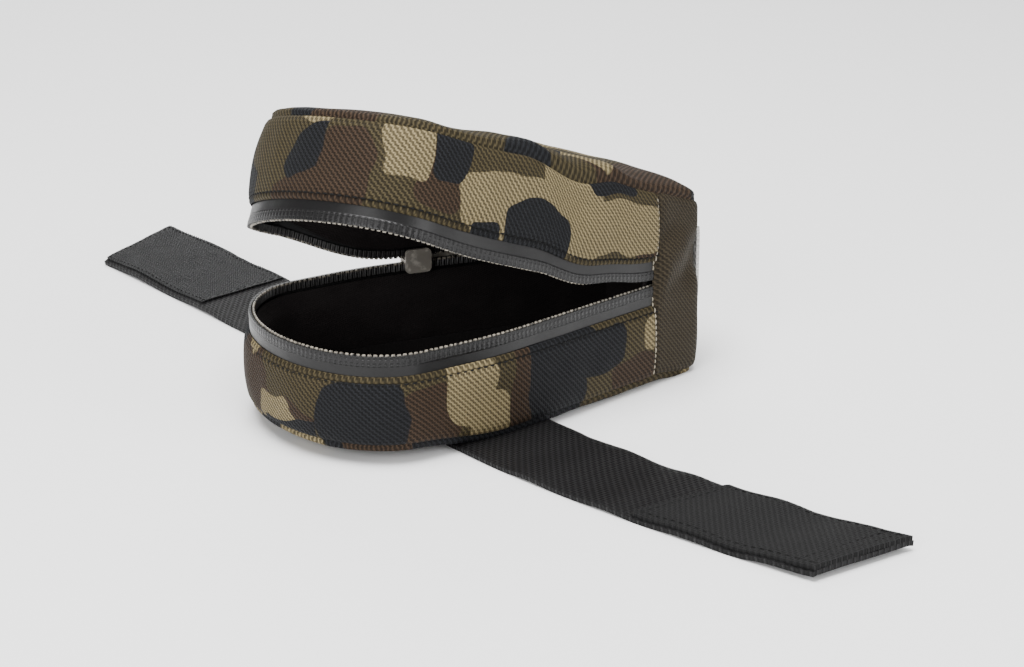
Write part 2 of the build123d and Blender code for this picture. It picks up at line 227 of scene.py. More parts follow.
def side_roll(runs):
    """How far a wall's cloth rolls in at the upright side seams."""
    from_seam = np.minimum(runs - near_seam, far_seam - runs)
    return 1.1 * MM * (1 - smooth(0, 1.3 * MM, from_seam))[None]


def stitch_groove(off_line):
    """How deep a sewn line pulls the padded cloth in, by distance from the line."""
    return 0.4 * MM * np.exp(-(off_line / (0.7 * MM))**2)


def wall_grid(runs, heights, outwards):
    """Grid of points of an upright wall: rows are heights, columns are places on the outline."""
    point, normal = on_outline(runs)
    heights = heights if np.ndim(heights) == 2 else np.asarray(heights)[:, None]
    shape = (len(heights), len(runs))
    grid = np.zeros(shape + (3,))
    grid[..., :2] = point[None] + normal[None] * np.broadcast_to(outwards, shape)[..., None]
    grid[..., 2] = heights
    return grid


def sew(name, grid, cut, thickness, closed=False, flip=False):
    """Cloth piece from a grid of points; cut holds each point's place on the flat cloth."""
    rows, columns = grid.shape[:2]
    faces, corners = [], []
    for i in range(rows - 1):
        for j in range(columns - 1 + closed):
            k = (j + 1) % columns
            ring = [(i, j), (i, k), (i + 1, k), (i + 1, j)]
            if flip:
                ring.reverse()
            faces.append([a * columns + b for a, b in ring])
            corners += [cut[a, b] if b or j < columns - 1 else cut[a, b] + (around, 0) for a, b in ring]
    mesh = bpy.data.meshes.new(name)
    mesh.from_pydata(grid.reshape(-1, 3).tolist(), [], faces)
    mesh.uv_layers.new(name="cut").data.foreach_set("uv", np.array(corners, float).ravel())
    piece = bpy.data.objects.new(name, mesh)
    bpy.context.scene.collection.objects.link(piece)
    shape = bmesh.new()
    shape.from_mesh(mesh)
    bmesh.ops.remove_doubles(shape, verts=shape.verts, dist=0.01 * MM)
    shape.to_mesh(mesh)
    shape.free()
    wall = piece.modifiers.new("thickness", "SOLIDIFY")
    wall.thickness = thickness
    wall.offset = -1
    return settle(piece)


def settle(piece):
    """Turn a piece's live modifiers into plain mesh, shaded smooth."""
    made = bpy.data.meshes.new_from_object(piece.evaluated_get(bpy.context.evaluated_depsgraph_get()))
    piece.modifiers.clear()
    piece.data = made
    made.shade_smooth()
    made.set_sharp_from_angle(angle=math.radians(50))
    return piece


def cut_at(runs, heights, shift=(0, 0)):
    """Flat cloth places of a wall grid: distance along the outline, and height."""
    across, up = np.meshgrid(runs, heights)
    return np.stack([across + shift[0], up + shift[1]], -1)


class Number:
    """A number in a material's node tree, so that shader sums are written as sums."""

    def __init__(self, finish, socket):
        self.finish, self.socket = finish, socket

    def sum(self, operation, *values):
        node = self.finish.add("ShaderNodeMath", {"operation": operation}, dict(enumerate(values)))
        return Number(self.finish, node.outputs[0])

    def __add__(self, other):
        return self.sum("ADD", self, other)

    def __sub__(self, other):
        return self.sum("SUBTRACT", self, other)

    def __rsub__(self, other):
        return self.sum("SUBTRACT", other, self)

    def __mul__(self, other):
        return self.sum("MULTIPLY", self, other)

    def __truediv__(self, other):
        return self.sum("DIVIDE", self, other)

    def __pow__(self, other):
        return self.sum("POWER", self, other)

    __radd__ = __add__
    __rmul__ = __mul__

    def sine(self):
        return self.sum("SINE", self)

    def cosine(self):
        return self.sum("COSINE", self)

    def floor(self):
        return self.sum("FLOOR", self)

    def size(self):
        return self.sum("ABSOLUTE", self)

    def least(self, other):
        return self.sum("MINIMUM", self, other)

    def most(self, other):
        return self.sum("MAXIMUM", self, other)

    def rise(self, low, high):
        """0 below low, 1 above high, and a smooth rise between."""
        node = self.finish.add("ShaderNodeMapRange", {"interpolation_type": "SMOOTHSTEP"},
                               {"Value": self, "From Min": low, "From Max": high})
        return Number(self.finish, node.outputs["Result"])


class Finish:
    """A node material for one cloth, plastic or metal of the case."""

    def __init__(self, name, slot, **constants):
        self.slot = slot
        self.material = bpy.data.materials.new(name)
        self.material.use_nodes = True
        self.tree = self.material.node_tree
        self.shader = self.tree.nodes["Principled BSDF"]
        for label, value in constants.items():
            self.shader.inputs[label.replace("_", " ")].default_value = value

    def add(self, kind, settings, values):
        """A node of this kind with its settings, and its sockets set or joined by label."""
        node = self.tree.nodes.new(kind)
        for label, value in settings.items():
            setattr(node, label, value)
        for label, value in values.items():
            self.join(value, node.inputs[label])
        return node

    def join(self, value, socket):
        if isinstance(value, Number):
            self.tree.links.new(value.socket, socket)
        elif isinstance(value, bpy.types.NodeSocket):
            self.tree.links.new(value, socket)
        else:
            socket.default_value = value

    def across_and_up(self):
        """Place on the flat cloth, in metres, from the piece's own cut map."""
        place = self.add("ShaderNodeUVMap", {"uv_map": "cut"}, {}).outputs["UV"]
        split = self.add("ShaderNodeSeparateXYZ", {}, {"Vector": place})
        return Number(self, split.outputs["X"]), Number(self, split.outputs["Y"])

    def cloud(self, across, up, size, detail=2.0, third=0.0, **more):
        """Cloudy noise over the flat cloth, from 0 to 1, with features of about this size."""
        place = self.add("ShaderNodeCombineXYZ", {}, {"X": across, "Y": up, "Z": third})
        node = self.add("ShaderNodeTexNoise", {}, {"Vector": place.outputs[0], "Scale": 1 / size,
                                                   "Detail": detail, **more})
        return Number(self, node.outputs["Fac"])

    def speckle(self, per_metre, detail=2.0):
        """Noise through the solid piece, from 0 to 1, with this many features to a metre."""
        place = self.add("ShaderNodeTexCoord", {}, {}).outputs["Object"]
        node = self.add("ShaderNodeTexNoise", {}, {"Vector": place, "Scale": per_metre, "Detail": detail})
        return Number(self, node.outputs["Fac"])

    def blend(self, share, below, above):
        """Colour below where share is 0, and colour above where it is 1."""
        node = self.add("ShaderNodeMix", {"data_type": "RGBA"}, {"Factor": share})
        self.join(below, node.inputs[6])
        self.join(above, node.inputs[7])
        return node.outputs[2]

    def shade(self, colour, amount):
        """A colour made lighter or darker by a factor."""
        node = self.add("ShaderNodeVectorMath", {"operation": "SCALE"}, {"Scale": amount})
        self.join(colour, node.inputs[0])
        return node.outputs[0]

    def wear(self, colour, roughness, height, depth, strength=1.0):
        """Set the varying colour, roughness and relief."""
        self.join(colour, self.shader.inputs["Base Color"])
        self.join(roughness, self.shader.inputs["Roughness"])
        relief = self.add("ShaderNodeBump", {}, {"Height": height, "Distance": depth,
                                                 "Strength": strength})
        self.join(relief.outputs[0], self.shader.inputs["Normal"])
        return self

    def on(self, piece):
        """Put this finish on a piece."""
        piece.data.materials.clear()
        piece.data.materials.append(self.material)
        return piece


def woven(finish, across, up, pitch, slack=0.35):
    """Height from 0 to 1 of a plain weave with this yarn pitch."""
    turn = math.pi / pitch
    warp = (across * turn).sine().size() * (1 - slack + slack * (up * turn + (across / pitch).floor()
                                                                 * math.pi).cosine())
    weft = (up * turn).sine().size() * (1 - slack - slack * (across * turn + (up / pitch).floor()
                                                             * math.pi).cosine())
    return warp.most(weft)


tan, olive = (0.168, 0.134, 0.070, 1), (0.042, 0.033, 0.016, 1)
brown, charcoal = (0.032, 0.020, 0.012, 1), (0.0085, 0.009, 0.0105, 1)
camouflage = Finish("camouflage_cloth", "camo_fabric", Specular_IOR_Level=0.12)
across, up = camouflage.across_and_up()
sway_a = camouflage.cloud(across, up, 16 * MM, 1.0, third=3.1)
sway_b = camouflage.cloud(across, up, 16 * MM, 1.0, third=8.7)
warped_across = across + (sway_a - 0.5) * 14 * MM
warped_up = up * 1.35 + (sway_b - 0.5) * 14 * MM
crisp = 0.006


def patch_depth(place, patches):
    """Above 0 inside the nearest of these blunt patches, each (across, up, long, high) in mm."""
    depth = None
    for centre_across, centre_up, long, high in patches:
        away = camouflage.add("ShaderNodeVectorMath", {"operation": "SUBTRACT"},
                              {0: place, 1: (centre_across * MM, centre_up * MM, 0)})
        away = camouflage.add("ShaderNodeVectorMath", {"operation": "MULTIPLY"},
                              {0: away.outputs[0], 1: (1000 / long, 1000 / high, 0)})
        away = camouflage.add("ShaderNodeVectorMath", {"operation": "MULTIPLY"},
                              {0: away.outputs[0], 1: away.outputs[0]})
        away = camouflage.add("ShaderNodeVectorMath", {"operation": "LENGTH"}, {0: away.outputs[0]})
        reach = 1 - Number(camouflage, away.outputs["Value"]) ** 0.5
        depth = reach if depth is None else depth.most(reach)
    return depth


brown_patch = camouflage.cloud(warped_across, warped_up, 42 * MM, 0.6, third=5.0)
charcoal_patch = camouflage.cloud(warped_across, warped_up, 36 * MM, 0.6, third=11.2)
tan_patch = camouflage.cloud(warped_across, warped_up, 40 * MM, 0.6, third=21.6)
print_colour = camouflage.blend(brown_patch.rise(0.52, 0.52 + crisp), olive, brown)
print_colour = camouflage.blend(tan_patch.rise(0.56, 0.56 + crisp), print_colour, tan)
print_colour = camouflage.blend(charcoal_patch.rise(0.58, 0.58 + crisp), print_colour, charcoal)

# The near flank is cut from one chosen stretch of the print: the base's from 0 up, and the lid's
# from lid_cut up.
lid_cut = 110
near_place = camouflage.add("ShaderNodeCombineXYZ", {}, {
    "X": across + (sway_a - 0.5) * 9 * MM, "Y": up + (sway_b - 0.5) * 7 * MM, "Z": 0.0}).outputs[0]
near_flank = patch_depth(near_place, [(108, 15, 74, 60), (108, lid_cut + 60, 78, 45)])
near_brown = [(108, 14, 7, 17), (144, 12, 10, 13), (148, lid_cut + 57, 8, 9), (50, lid_cut + 53, 8, 6),
              (178, lid_cut + 55, 9, 14), (84, lid_cut + 52, 4, 3), (58, 8, 12, 6)]
near_tan = [(130, 19, 9, 12), (123, 10, 8, 9), (48, 20, 5, 6), (66, lid_cut + 57, 29, 9),
            (92, lid_cut + 60, 17, 14), (117, lid_cut + 55, 24, 10), (159, lid_cut + 64, 8, 10)]
near_charcoal = [(78, 21, 16, 8), (94, 17, 13, 16), (167, 15, 15, 13), (107, lid_cut + 49, 14, 9),
                 (129, lid_cut + 45, 6, 4), (70, lid_cut + 73, 12, 6), (145, lid_cut + 66, 6, 9)]
near_colour = camouflage.blend(patch_depth(near_place, near_brown).rise(0, 0.03), olive, brown)
near_colour = camouflage.blend(patch_depth(near_place, near_tan).rise(0, 0.03), near_colour, tan)
near_colour = camouflage.blend(patch_depth(near_place, near_charcoal).rise(0, 0.03), near_colour, charcoal)
print_colour = camouflage.blend(near_flank.rise(0, 0.01), print_colour, near_colour)
# The weave is painted into the colour: lighter on the yarn crests as painted highlight, darker in the gaps
# between yarns as painted shade. The small specks are partly real yarn tone and partly painted glints.
yarn = woven(camouflage, across, up, yarn_pitch)
tone_and_glint_specks = camouflage.cloud(across, up, 0.9 * MM, 1.0)
print_colour = camouflage.shade(print_colour, 0.02 + yarn ** 2.2 * 1.2 + tone_and_glint_specks * 0.55)

# Both walls are painted darker along their sewn lines: painted shade in the seam grooves. The panels'
# places on the cloth lie further up.
edge_line = zip_z - tape_show - edge_seam
edge_above = zip_z + tape_show + edge_seam
off_edge = (up - edge_line).size().least((up - (edge_above + lid_cut * MM)).size())
off_side = (across - near_seam).size().least((across - far_seam).size())
on_wall = 1 - up.rise(0.20, 0.21)
sewn = (1 - off_edge.rise(0.15 * MM, 0.75 * MM)) * 0.8
sewn = sewn.most((1 - off_side.rise(0.5 * MM, 1.3 * MM)) * 0.85) * on_wall
print_colour = camouflage.shade(print_colour, 1 - sewn)
camouflage.wear(print_colour, 0.78 - yarn * 0.12, yarn + tone_and_glint_specks * 0.3, 0.35 * MM, 0.8)

runs = np.linspace(near_seam, far_seam, 261)
steps = np.arange(1, 4) * seam_step
wall_runs = runs = np.sort(np.concatenate([runs, near_seam + steps, far_seam - steps]))
rise_share = np.concatenate([np.linspace(0, 0.88, 25)[:-1], np.linspace(0.88, 1, 10)])
heights = bottom_seam + rise_share * (zip_z - tape_show - bottom_seam)
plump = wall_bulge * np.sin(np.pi * rise_share)[:, None] ** 0.7
lift = bottom_at(on_outline(runs)[0][:, 0]) - bottom_seam
lifted = heights[:, None] + (1 - rise_share)[:, None] * lift[None]
flat_spots = wall_grid(runs, lifted, 0)
loose = wall_slack(flat_spots, 1)
turned_in = -edge_turn * (1 - np.sqrt(1 - (1 - np.clip((heights - heights[0]) / (2.2 * MM), 0, 1))**2))
fold_roll = -0.7 * MM * smooth(heights[-1] - 0.9 * MM, heights[-1], heights)
grid = wall_grid(runs, lifted, plump + loose * np.sin(np.pi * np.clip(rise_share, 0.03, 0.97))[:, None]
                 + (turned_in + fold_roll - stitch_groove(heights - edge_line))[:, None] - side_roll(runs))
base_wall = camouflage.on(sew("base_wall", grid, cut_at(runs, heights), cloth))
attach(base_wall, "case")
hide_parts("base_band")

# ---------------------------------------------------------------- bottom panel
# The padded underside, cut to the plan and sewn to the walls. It bulges below its seam
# and lies flat on the ground, and is pressed up where the strap runs across it.
strap_low, strap_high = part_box("strap_middle")
strap_mid = (strap_low.x + strap_high.x) / 2
seam_inset = 1.2 * MM
panel_roll = 11 * MM


def dome(seam_at, bulge, seed, shift):
    """A stuffed panel over the whole plan, standing bulge past its seam (down if negative)."""
    sides = 280
    runs = np.arange(sides) / sides * around
    point, normal = on_outline(runs)
    middle = np.stack([np.clip(point[:, 0], nose_x + 4 * MM, spine_x - 22 * MM), point[:, 1] * 0], -1)
    steps = np.concatenate([np.linspace(0, 1, 9)[:-1] * 0.16, np.linspace(0.16, 1, 24)])
    grid = np.zeros((len(steps), sides, 3))
    for i, step in enumerate(steps):
        grid[i, :, :2] = point + (middle - point) * step
    depth = np.linalg.norm(grid[..., :2] - point[None], axis=-1)
    swell = np.sqrt(1 - (1 - np.clip(depth / panel_roll, 0, 1))**2)
    tuck = -seam_inset * (1 - smooth(0, 2.0 * MM, depth)) + 0.5 * MM * np.sin(
        np.pi * np.clip(depth / (5 * MM), 0, 1))
    grid[..., :2] += normal[None] * tuck[..., None]
    grid[..., 2] = seam_at(grid[..., 0]) + bulge * swell
    soft = rumple(grid, 30 * MM, seed) * 0.9 * MM + rumple(grid, 11 * MM, seed + 1) * 0.3 * MM
    grid[..., 2] += soft * swell * np.sign(bulge) * 0.9
    stretch = (np.linalg.norm(np.diff(grid, axis=0), axis=-1)
               - np.linalg.norm(np.diff(grid[..., :2], axis=0), axis=-1))
    stretch = np.concatenate([np.cumsum(stretch[::-1], axis=0)[::-1], np.zeros((1, sides))])
    cut = grid[..., :2] + normal[None] * stretch[..., None] + shift
    return grid, cut


grid, cut = dome(bottom_at, 0.5 * MM - bottom_seam, 3, (0.9, 0.3))
over_strap = 1 - smooth(20 * MM, 26 * MM, np.abs(grid[..., 0] - strap_mid))
lowest = 0.15 * MM + over_strap * 2.0 * MM
grid[..., 2] = np.maximum(grid[..., 2], lowest)
base_underside = camouflage.on(sew("base_underside", grid, cut, cloth, closed=True, flip=True))
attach(base_underside, "case")
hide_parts("base_panel")

# ---------------------------------------------------------------- base zip
# Half of a film-coated zip: a satin tape sewn under the wall's folded edge, which carries a
# nylon coil on its inner face. The coil prints through the film, and its heads stand past it.
coil_pitch = 1.8 * MM
coil_reach = 2.7 * MM
tape_inset = 1.0 * MM
tape_edge = 1.1 * MM
head_middle = 1.1 * MM
film = Finish("zip_film", "zip_tape", Specular_IOR_Level=0.25, Coat_Weight=0.04, Coat_Roughness=0.3)
across, up = film.across_and_up()
below_edge = (up - zip_z).size()
on_coil = below_edge.rise(0.9 * MM, 1.2 * MM) * (1 - below_edge.rise(3.9 * MM, 4.5 * MM))
wave = (across * (2 * math.pi / coil_pitch)).sine()
first_row = below_edge.rise(1.3 * MM, 1.5 * MM) * (1 - below_edge.rise(2.0 * MM, 2.2 * MM))
second_row = below_edge.rise(3.0 * MM, 3.2 * MM) * (1 - below_edge.rise(3.6 * MM, 3.8 * MM))
dents = wave.rise(-0.1, 0.5) * (first_row + second_row)
swells = film.cloud(across, up, 11 * MM, 2.0)
grain = film.cloud(across, up, 0.6 * MM, 2.0)
fold_shadow = below_edge.rise(7.4 * MM, 8.3 * MM)
film_colour = film.blend(grain * 0.3 + on_coil * 0.25, (0.005, 0.0048, 0.005, 1),
                         (0.013, 0.0125, 0.0128, 1))
# The film is painted darker in the coil's dents and below the wall's fold: painted shade.
film_colour = film.shade(film_colour, 0.8 - dents * 0.6 - fold_shadow * 0.3)
film.wear(film_colour, 0.20 + swells * 0.26 + grain * 0.08,
          on_coil * 0.8 - dents * 0.6 + wave * on_coil * 0.25 + swells * 1.0 + grain * 0.1, 0.35 * MM, 0.8)


def spun(finish, dark, light):
    """Give a finish the look of twisted sewing thread between two colours."""
    twist = finish.speckle(2600.0)
    return finish.wear(finish.blend(twist, dark, light), 0.5 + twist * 0.3, twist, 0.1 * MM)


thread = spun(Finish("black_thread", "thread", Specular_IOR_Level=0.12),
              (0.002, 0.002, 0.002, 1), (0.008, 0.008, 0.008, 1))

nylon = Finish("coil_nylon", "zip_coil", Specular_IOR_Level=0.6)
scuff_and_glint = nylon.speckle(700.0, 3.0)
head = Number(nylon, nylon.add("ShaderNodeAttribute", {"attribute_name": "head"}, {}).outputs["Fac"])
# The coil's heads are painted pale beige where the speckle is high: partly painted glints on the heads,
# partly scuffed nylon.
nylon.wear(nylon.blend(scuff_and_glint.rise(0.3, 0.6) * head, (0.011, 0.010, 0.010, 1), (0.30, 0.27, 0.22, 1)),
           0.3 + scuff_and_glint * 0.25, scuff_and_glint, 0.05 * MM)


def row_tree():
    """Node tree that sets a shape at every pitch along a path, by its two direction attributes."""
    tree = bpy.data.node_groups.new("row_along_path", "GeometryNodeTree")
    for label, way, kind in (("Path", "INPUT", "NodeSocketGeometry"),
                             ("Shape", "INPUT", "NodeSocketObject"),
                             ("Pitch", "INPUT", "NodeSocketFloat"),
                             ("Seed", "INPUT", "NodeSocketInt"),
                             ("Unevenness", "INPUT", "NodeSocketFloat"),
                             ("Finish", "INPUT", "NodeSocketMaterial"),
                             ("Row", "OUTPUT", "NodeSocketGeometry")):
        tree.interface.new_socket(name=label, in_out=way, socket_type=kind)
    given = tree.nodes.new("NodeGroupInput").outputs

    def step(kind, settings, **values):
        node = tree.nodes.new(kind)
        for label, value in settings.items():
            setattr(node, label, value)
        for label, value in values.items():
            socket = node.inputs[label.replace("_", " ")]
            if isinstance(value, bpy.types.NodeSocket):
                tree.links.new(value, socket)
            else:
                socket.default_value = value
        return node

    line = step("GeometryNodeMeshToCurve", {}, Mesh=given["Path"]).outputs["Curve"]
    spots = step("GeometryNodeResampleCurve", {"mode": "LENGTH"}, Curve=line, Length=given["Pitch"])
    along = step("GeometryNodeInputNamedAttribute", {"data_type": "FLOAT_VECTOR"}, Name="along")
    out = step("GeometryNodeInputNamedAttribute", {"data_type": "FLOAT_VECTOR"}, Name="out")
    facing = step("FunctionNodeAlignRotationToVector", {"axis": "Z"}, Vector=out.outputs["Attribute"])
    facing = step("FunctionNodeAlignRotationToVector", {"axis": "X", "pivot_axis": "Z"},
                  Rotation=facing.outputs["Rotation"], Vector=along.outputs["Attribute"])
    lowest = step("ShaderNodeMath", {"operation": "SUBTRACT"})
    lowest.inputs[0].default_value = 1
    tree.links.new(given["Unevenness"], lowest.inputs[1])
    size = step("FunctionNodeRandomValue", {"data_type": "FLOAT"}, Seed=given["Seed"])
    tree.links.new(lowest.outputs[0], size.inputs[2])
    size.inputs[3].default_value = 1
    shape = step("GeometryNodeObjectInfo", {}, Object=given["Shape"])
    row = step("GeometryNodeInstanceOnPoints", {}, Points=spots.outputs["Curve"],
               Instance=shape.outputs["Geometry"], Rotation=facing.outputs["Rotation"],
               Scale=size.outputs[1])
    row = step("GeometryNodeRealizeInstances", {}, Geometry=row.outputs["Instances"])
    row = step("GeometryNodeSetMaterial", {}, Geometry=row.outputs["Geometry"], Material=given["Finish"])
    end = tree.nodes.new("NodeGroupOutput")
    tree.links.new(row.outputs["Geometry"], end.inputs["Row"])
    return tree


row_nodes = row_tree()


def row(name, paths, shape, pitch, finish, unevenness=0.15):
    """A piece made of one shape repeated along paths of (points, along, out) arrays."""
    points = np.concatenate([path[0] for path in paths])
    lengths = [len(path[0]) for path in paths]
    starts = np.cumsum([0] + lengths)
    edges = [(start + k, start + k + 1) for start, count in zip(starts, lengths) for k in range(count - 1)]
    mesh = bpy.data.meshes.new(name)
    mesh.from_pydata(points.tolist(), edges, [])
    for label, index in (("along", 1), ("out", 2)):
        values = np.concatenate([path[index] for path in paths])
        mesh.attributes.new(label, "FLOAT_VECTOR", "POINT").data.foreach_set("vector", values.ravel())
    piece = bpy.data.objects.new(name, mesh)
    bpy.context.scene.collection.objects.link(piece)
    maker = piece.modifiers.new("row", "NODES")
    maker.node_group = row_nodes
    labels = {item.name: item.identifier for item in row_nodes.interface.items_tree
              if item.in_out == "INPUT"}
    for label, value in (("Shape", shape), ("Pitch", pitch), ("Seed", 7), ("Unevenness", unevenness),
                         ("Finish", finish.material)):
        maker[labels[label]] = value
    settle(piece)
    return finish.on(piece)


def wall_path(runs, height, outwards):
    """A level path on a wall, with its directions along and out, for a row."""
    point, normal = on_outline(runs)
    spots = np.column_stack([point + normal * outwards, np.full(len(runs), height)])
    out = np.column_stack([normal, np.zeros(len(runs))])
    return spots, np.cross(out, (0, 0, 1)) * -1, out


def helper(name, build):
    """An unseen shape object for rows, built by a bmesh function."""
    mesh = bpy.data.meshes.new(name)
    shape = bmesh.new()
    build(shape)
    shape.to_mesh(mesh)
    shape.free()
    mesh.shade_smooth()
    return bpy.data.objects.new(name, mesh)


def stitch_shape(shape, length=2.1 * MM, radius=0.3 * MM):
    """One stitch: a short fat thread lying along X with its ends dipping into the cloth."""
    bmesh.ops.create_uvsphere(shape, u_segments=8, v_segments=6, radius=1)
    for vert in shape.verts:
        vert.co = Vector((vert.co.x * length / 2, vert.co.y * radius,
                          vert.co.z * radius - abs(vert.co.x)**2 * radius * 0.9))


def wire_tube(shape, path, wire, sides, up, turned_by=0.0):
    """A round wire with closed ends along a path, whose sides keep to the up axis; gives its rings."""
    angles = [math.tau * (n + turned_by) / sides for n in range(sides)]
    rings = []
    for k, spot in enumerate(path):
        ahead = Vector(path[min(k + 1, len(path) - 1)]) - Vector(path[max(k - 1, 0)])
        turn = ahead.to_track_quat("Z", up)
        circle = [turn @ Vector((math.cos(a) * wire, math.sin(a) * wire, 0)) for a in angles]
        rings.append([shape.verts.new(Vector(spot) + point) for point in circle])
    for low, high in zip(rings, rings[1:]):
        for n in range(sides):
            shape.faces.new((low[n], low[(n + 1) % sides], high[(n + 1) % sides], high[n]))
    shape.faces.new(rings[0][::-1])
    shape.faces.new(rings[-1])
    return rings


def tooth_shape(shape, wire=0.42 * MM):
    """One turn of the coil: two legs from a rounded head that stands at +Y, marked as head."""
    path = [(-0.55 * MM, -coil_reach, 0), (-0.5 * MM, -0.5 * MM, 0.1 * MM), (-0.28 * MM, 0, 0.25 * MM),
            (0.28 * MM, 0, 0.25 * MM), (0.5 * MM, -0.5 * MM, 0.1 * MM), (0.55 * MM, -coil_reach, 0)]
    head = shape.verts.layers.float.new("head")
    for ring in wire_tube(shape, path, wire, 6, "X")[2:4]:
        for vert in ring:
            vert[head] = 1.0


stitch = helper("one_stitch", stitch_shape)
tooth = helper("one_tooth", tooth_shape)

runs = np.linspace(near_seam - 4 * MM, far_seam + 4 * MM, 261)
zip_runs = np.linspace(near_seam, far_seam, 261)
heights = zip_z - np.array([tape_show + 4 * MM, tape_show + 1 * MM, tape_show, 6 * MM, 4.4 * MM, 3.6 * MM,
                            2.4 * MM, 1.6 * MM, tape_edge])
soft = rumple(wall_grid(runs, heights, 0), 20 * MM, 5) * 0.1 * MM
swell = np.array([-0.2, 0, 0.05, 0.1, 0.1, 0.15, 0.2, 0.15, 0.05])[:, None] * MM
grid = wall_grid(runs, heights, swell + soft - tape_inset)
base_tape = film.on(sew("base_tape", grid, cut_at(runs, heights), 0.7 * MM))
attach(base_tape, "case")
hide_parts("base_zip_tape")
coil_inset = -1.9 * MM
base_coil = row("base_coil", [wall_path(zip_runs, zip_z - head_middle, coil_inset)], tooth, coil_pitch,
                nylon, 0.04)
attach(base_coil, "case")
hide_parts("base_zip_coil")
stitch_pitch = 2.6 * MM
stitch_out = 1.15 * MM
base_edge_stitches = row("base_edge_stitches", [wall_path(zip_runs, edge_line, stitch_out)], stitch,
                         stitch_pitch, thread)
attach(base_edge_stitches, "case")

# ---------------------------------------------------------------- lid
# The lid is the base's shape turned over, with a plump top. It has no hinge: the cloth near
# the spine simply bends, so every lid cloth is one piece, made shut and bent open here.
lid_joint = next(joint for joint in frame["joints"] if joint["child"] == "lid")
fold_spot = np.array(lid_joint["pos_m"])
fold_axis = np.array(lid_joint["axis"]) / np.linalg.norm(lid_joint["axis"])
fold_ahead = np.cross(fold_axis, (0, 0, 1)) * -1
open_angle = -math.radians(lid_joint["range_deg"][0])
fold_length = 40 * MM
hump_height = 3.6 * MM
rim_start, rim_start_x = 3.6 * MM, fold_spot[0] - 12 * MM
rim_dip = 2.0 * MM
rim_lift = 3.0 * MM
rim_flare = 2.4 * MM


def turned(points, angle):
    """Points turned about the lid's fold by an angle each."""
    arm = points - fold_spot
    cosine, sine = np.cos(angle)[:, None], np.sin(angle)[:, None]
    level = (arm @ fold_axis)[:, None] * fold_axis
    return fold_spot + level + (arm - level) * cosine + np.cross(fold_axis, arm) * sine


def opened(points):
    """Points of the shut lid, bent open: not at all behind the fold, in full past its length."""
    flat = points.reshape(-1, 3)
    rest = flat.copy()
    for _ in range(60):
        share = smooth(0, fold_length, (rest - fold_spot) @ fold_ahead)
        rest = 0.5 * rest + 0.5 * turned(flat, share * open_angle)
    return rest.reshape(points.shape)


def bend_lid(piece):
    """Carry a piece from the shut lid's place to the open one, where it bends from then on."""
    spots = np.empty(len(piece.data.vertices) * 3)
    piece.data.vertices.foreach_get("co", spots)
    piece.data.vertices.foreach_set("co", opened(spots.reshape(-1, 3)).ravel())
    piece.data.update()
    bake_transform(piece)
    return piece


def fold_hump(grid):
    """Extra cloth above the fold, which the open lid bunches up there."""
    ahead = (grid - fold_spot) @ fold_ahead
    high = np.clip((grid[..., 2] - zip_z) / (top_seam - zip_z), 0, 1.1)
    return hump_height * high**2 * np.exp(-((ahead - 12 * MM) / (13 * MM))**2)


def rim_sway(grid):
    """How far the lid's rim bows: down along the flanks, up at the nose, and not at its top."""
    ahead = np.clip((grid - fold_spot) @ fold_ahead / (55 * MM), 0, 2)
    low = 1 - np.clip((grid[..., 2] - zip_z) / (top_seam - zip_z), 0, 1)
    start = np.exp(-((grid[..., 0] - rim_start_x) / (13 * MM))**2) * (grid[..., 1] < 0)
    dip = rim_dip * ((ahead - 1)**2 - 1) * smooth(0.3, 0.8, ahead)
    return low * (dip + rim_lift * smooth(1.1, 1.95, ahead) + rim_start * start)


def rim_spread(grid):
    """How far the lid's rim flares outwards at the nose."""
    low = 1 - np.clip((grid[..., 2] - zip_z) / (top_seam - zip_z), 0, 1)
    return rim_flare * low**1.5 * smooth(nose_x + 12 * MM, tip_x + 4 * MM, grid[..., 0])


runs = wall_runs
rise_share = np.concatenate([np.linspace(0, 0.1, 9)[:-1], np.linspace(0.1, 1, 27)])
low_edge = zip_z + tape_show
heights = low_edge + rise_share[:, None] * (top_at(on_outline(runs)[0][:, 0]) - low_edge)[None]
plump = wall_bulge * np.sin(np.pi * rise_share)[:, None] ** 0.7
flat_spots = wall_grid(runs, heights, 0)
loose = wall_slack(flat_spots, 11)
turned_in = -edge_turn * (1 - np.sqrt(1 - (1 - np.clip((heights[-1] - heights) / (2.2 * MM), 0, 1))**2))
fold_roll = -0.7 * MM * (1 - smooth(low_edge, low_edge + 0.9 * MM, heights))
grid = wall_grid(runs, heights, plump + loose * np.sin(np.pi * np.clip(rise_share, 0.03, 0.97))[:, None]
                 + turned_in + fold_roll + rim_spread(flat_spots) - stitch_groove(heights - edge_above)
                 - side_roll(runs))
cut = cut_at(runs, low_edge + rise_share * (top_seam - low_edge), (0, lid_cut * MM))
grid[..., 2] += fold_hump(grid) + rim_sway(grid)
lid_wall = bend_lid(camouflage.on(sew("lid_wall", grid, cut, cloth)))
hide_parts("lid_band", "heel_band_near", "heel_band_far")

crown, crown_fill = 3.3 * MM, 5.5 * MM
grid, cut = dome(top_at, crown, 13, (0.4, 0.5))
grid[..., 2] += crown_fill * np.clip((grid[..., 2] - top_at(grid[..., 0])) / crown, 0, 1) \
    * np.exp(-((grid[..., 0] - 5 * MM) / (33 * MM))**2)
grid[..., 2] += fold_hump(grid)
lid_top = bend_lid(camouflage.on(sew("lid_top", grid, cut, cloth, closed=True)))
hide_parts("lid_panel", "heel_panel")

